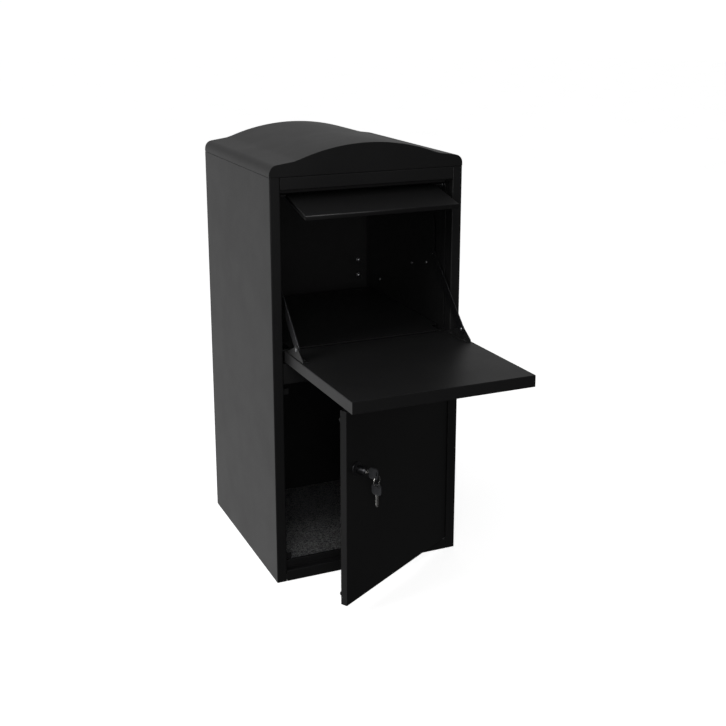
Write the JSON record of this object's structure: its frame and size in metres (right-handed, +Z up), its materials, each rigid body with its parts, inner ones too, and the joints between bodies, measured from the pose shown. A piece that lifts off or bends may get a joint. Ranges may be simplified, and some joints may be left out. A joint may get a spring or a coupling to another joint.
{
  "type": "parcel drop box",
  "caption": "Free-standing steel parcel drop box with an arched roof, a drop-down parcel flap on stays, a visor, a tipping tray and a lockable collection door with keys.",
  "frame": {"origin": "centre of the cabinet's underside", "axes": "+Z up, front face with flap and door towards -Y, +X to the right seen from the front"},
  "size_m": [0.465, 0.8644, 1.0155],
  "materials": {
    "black_powder_coat": "satin black powder coat with a fine orange-peel texture",
    "zinc_plated_steel": "zinc-plated steel, slightly dulled",
    "bright_nickel": "bright nickel plating",
    "dark_nickel": "dark nickel or black-oxide plating, semi-gloss",
    "key_plastic": "moulded dark grey plastic key head",
    "buffer_rubber": "matt black rubber",
    "granular_mat": "speckled grey granular mat"
  },
  "bodies": {
    "cabinet": {"side_panel_left": "black_powder_coat", "side_panel_right": "black_powder_coat", "back_panel": "black_powder_coat", "floor_pan": "black_powder_coat", "floor_mat": "granular_mat", "door_sill": "black_powder_coat", "cross_rail": "black_powder_coat", "fascia": "black_powder_coat", "header_strip": "black_powder_coat", "ceiling_plate": "black_powder_coat", "roof_front_plate": "black_powder_coat", "roof_rear_plate": "black_powder_coat", "roof_skin": "black_powder_coat", "side_liner_left": "black_powder_coat", "side_liner_right": "black_powder_coat", "wall_fixing_nut_left_lower": "zinc_plated_steel", "wall_fixing_nut_left_upper": "zinc_plated_steel", "wall_fixing_nut_right_lower": "zinc_plated_steel", "wall_fixing_nut_right_upper": "zinc_plated_steel", "door_stop_tab_lower": "black_powder_coat", "door_stop_tab_upper": "black_powder_coat", "flap_hinge_fixed_leaf": "black_powder_coat", "flap_hinge_pin": "zinc_plated_steel", "tray_pivot_rod": "black_powder_coat", "tray_rod_cap_left": "zinc_plated_steel", "tray_rod_cap_right": "zinc_plated_steel"},
    "flap": {"flap_outer_pan": "black_powder_coat", "flap_inner_panel": "black_powder_coat", "flap_hinge_moving_leaf": "black_powder_coat", "stay_bracket_left": "black_powder_coat", "stay_bracket_right": "black_powder_coat", "stay_rivet_left": "zinc_plated_steel", "stay_rivet_right": "zinc_plated_steel"},
    "stay_left": {"stay_arm_left": "dark_nickel", "stay_pin_left": "dark_nickel"},
    "stay_right": {"stay_arm_right": "dark_nickel", "stay_pin_right": "dark_nickel"},
    "visor": {"visor_panel": "black_powder_coat", "visor_rod": "black_powder_coat", "visor_collar_left": "zinc_plated_steel", "visor_collar_right": "zinc_plated_steel"},
    "tray": {"tray_plate": "black_powder_coat", "tray_hinge_sleeve": "black_powder_coat"},
    "door": {"door_skin": "black_powder_coat", "door_inner_panel": "black_powder_coat", "door_pivot_pin_upper": "zinc_plated_steel", "door_pivot_pin_lower": "zinc_plated_steel", "door_buffer_lower": "buffer_rubber", "door_buffer_upper": "buffer_rubber", "lock_body": "dark_nickel", "lock_nut": "zinc_plated_steel"},
    "lock": {"lock_plug": "bright_nickel", "lock_cam": "zinc_plated_steel", "cam_screw": "zinc_plated_steel"},
    "key": {"key_bow": "key_plastic", "key_blade": "bright_nickel"},
    "key_ring": {"split_ring": "bright_nickel"},
    "spare_key": {"spare_key_bow": "key_plastic", "spare_key_blade": "bright_nickel"}
  },
  "joints": [
    {"name": "flap_hinge", "type": "hinge", "parent": "cabinet", "child": "flap", "pos_m": [0, -0.2405, 0.536], "axis": [-1, 0, 0], "range_deg": [0, 89.3]},
    {"name": "visor_hinge", "type": "hinge", "parent": "cabinet", "child": "visor", "pos_m": [0, -0.193, 0.9025], "axis": [1, 0, 0], "range_deg": [0, 75.4]},
    {"name": "tray_hinge", "type": "hinge", "parent": "cabinet", "child": "tray", "pos_m": [0, -0.203, 0.552], "axis": [-1, 0, 0], "range_deg": [0, 60]},
    {"name": "stay_left_hinge", "type": "hinge", "parent": "flap", "child": "stay_left", "pos_m": [-0.2003, -0.3119, 0.58588], "axis": [1, 0, 0], "range_deg": [0, 126]},
    {"name": "stay_right_hinge", "type": "hinge", "parent": "flap", "child": "stay_right", "pos_m": [0.2003, -0.3119, 0.58588], "axis": [1, 0, 0], "range_deg": [0, 126]},
    {"name": "door_hinge", "type": "hinge", "parent": "cabinet", "child": "door", "pos_m": [0.2035, -0.236, 0.255], "axis": [0, 0, 1], "range_deg": [-31, 64]},
    {"name": "lock_turn", "type": "hinge", "parent": "door", "child": "lock", "pos_m": [-0.11579, -0.42785, 0.341], "axis": [0.515, -0.8572, 0], "range_deg": [0, 90]},
    {"name": "key_slide", "type": "slide", "parent": "lock", "child": "key", "axis": [0.515, -0.8572, 0], "range_m": [0, 0.03]},
    {"name": "ring_swing", "type": "hinge", "parent": "key", "child": "key_ring", "pos_m": [-0.08644, -0.47671, 0.33765], "axis": [0.515, -0.8572, 0], "range_deg": [-26, 26]},
    {"name": "spare_key_swing", "type": "hinge", "parent": "key_ring", "child": "spare_key", "pos_m": [-0.08644, -0.47671, 0.31465], "axis": [0.8572, 0.515, 0], "range_deg": [-45, 15]}
  ],
  "couplings": [
    {"joint": "visor_hinge", "follows": "flap_hinge", "ratio": 0.84434},
    {"joint": "tray_hinge", "follows": "flap_hinge", "ratio": 0.67189},
    {"joint": "stay_left_hinge", "follows": "flap_hinge", "ratio": 1.411},
    {"joint": "stay_right_hinge", "follows": "flap_hinge", "ratio": 1.411}
  ]
}
